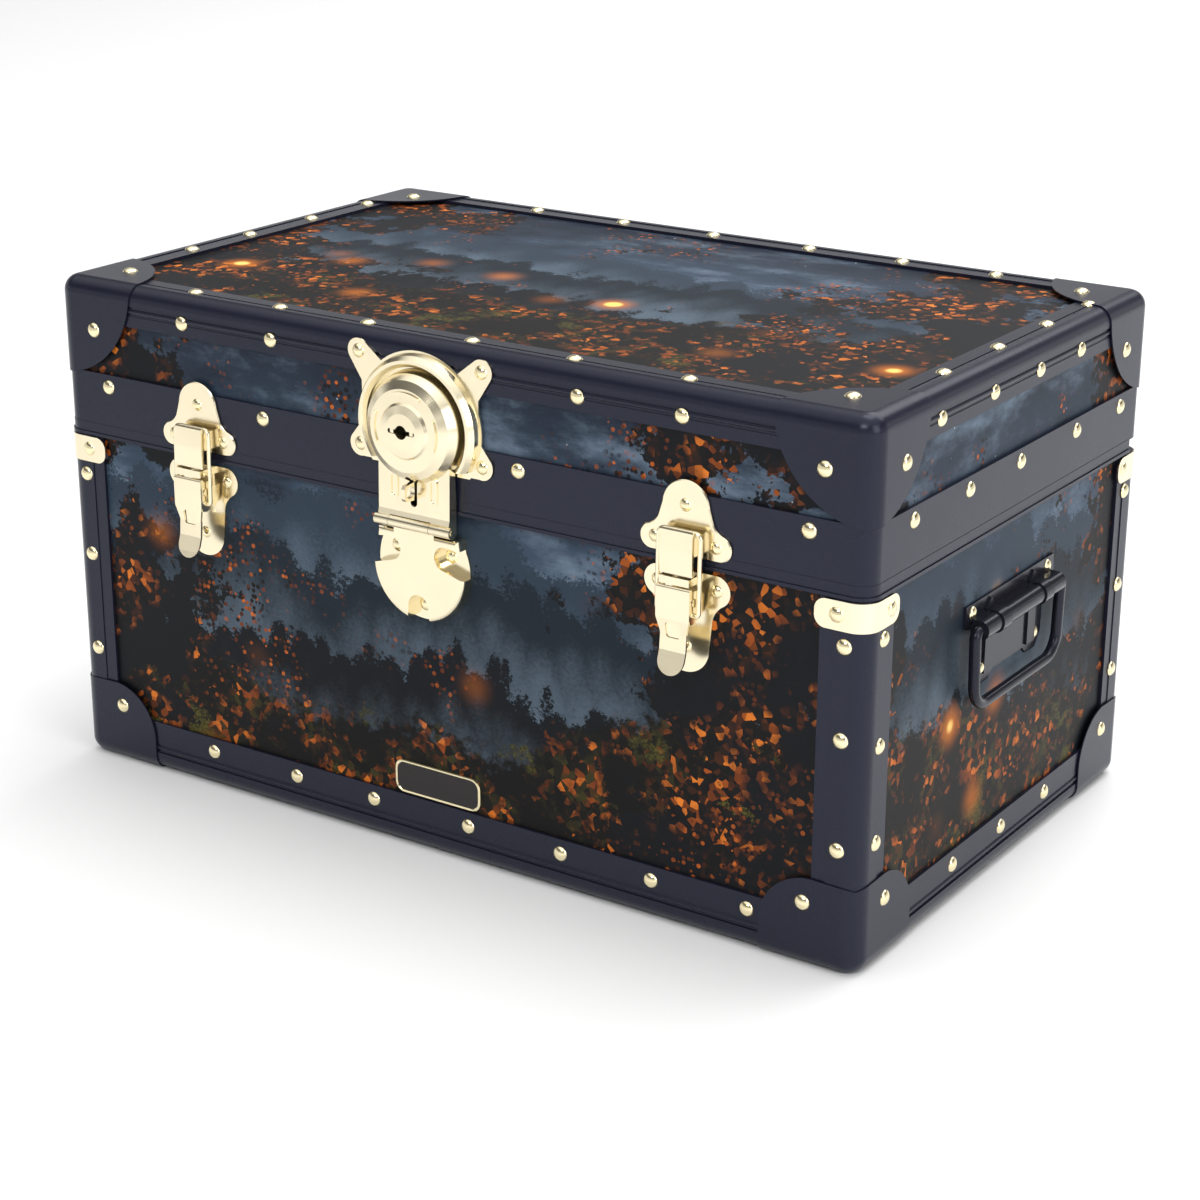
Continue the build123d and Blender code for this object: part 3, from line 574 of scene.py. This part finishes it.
# Grey levels of the world from the horizon up, for the brass to reflect
WORLD_LEVELS = ((0.0, 0.50), (0.14, 1.0), (0.30, 0.16), (0.55, 0.14), (0.72, 1.0), (1.0, 1.45))
scene = bpy.context.scene
world = bpy.data.worlds.new("studio")
scene.world = world
world.use_nodes = True
nodes, links = world.node_tree.nodes, world.node_tree.links
direction = nodes.new("ShaderNodeTexCoord")
axes = nodes.new("ShaderNodeSeparateXYZ")
levels = nodes.new("ShaderNodeValToRGB")
links.new(direction.outputs["Generated"], axes.inputs[0])
links.new(axes.outputs[2], levels.inputs[0])
links.new(levels.outputs[0], nodes["Background"].inputs[0])
fill_ramp(levels, [(pos, (level, level, level)) for pos, level in WORLD_LEVELS])


def area(name, at, target, size, power):
    data = bpy.data.lights.new(name, "AREA")
    data.shape = "RECTANGLE"
    data.size, data.size_y = size
    data.energy = power
    obj = bpy.data.objects.new(name, data)
    obj.location = at
    obj.rotation_euler = (Vector(target) - Vector(at)).to_track_quat("-Z", "Y").to_euler()
    scene.collection.objects.link(obj)


area("key", (0.5, -2.0, 1.7), (0, 0, 0.12), (1.0, 0.7), 17)
area("side", (1.9, -0.6, 0.9), (0, 0, 0.12), (0.9, 1.2), 12)
area("top", (0.1, 0.3, 2.4), (0, 0, 0.1), (1.4, 0.9), 13)
area("far", (0.3, 3.2, 3.0), (0, 3.0, 0.0), (4.0, 3.0), 90)  # lights the floor behind

# The photo's camera, fitted to the places of the nails
AZ = math.radians(33.77)
EL = math.radians(19.90)
ROLL = math.radians(0.23)
DISTANCE = 1.4885
TARGET = Vector((0.0009, Y0, 0.0981))
FOCAL_PX = 2629.0
PHOTO_PX = 1200.0
SENSOR = 36.0
backward = Vector((math.sin(AZ) * math.cos(EL), -math.cos(AZ) * math.cos(EL), math.sin(EL)))
level_x = (-backward).cross(Vector((0, 0, 1))).normalized()
level_y = level_x.cross(-backward)
cam_x = level_x * math.cos(ROLL) + level_y * math.sin(ROLL)
cam_y = level_y * math.cos(ROLL) - level_x * math.sin(ROLL)
cam_data = bpy.data.cameras.new("camera")
cam_data.sensor_width = SENSOR
cam_data.lens = FOCAL_PX * SENSOR / PHOTO_PX
cam_data.clip_start = 0.05
camera = bpy.data.objects.new("camera", cam_data)
scene.collection.objects.link(camera)
turn = Matrix((cam_x, cam_y, backward)).transposed().to_4x4()
camera.matrix_world = Matrix.Translation(TARGET + backward * DISTANCE) @ turn
scene.camera = camera
scene.view_settings.view_transform = "Standard"
scene.view_settings.look = "None"
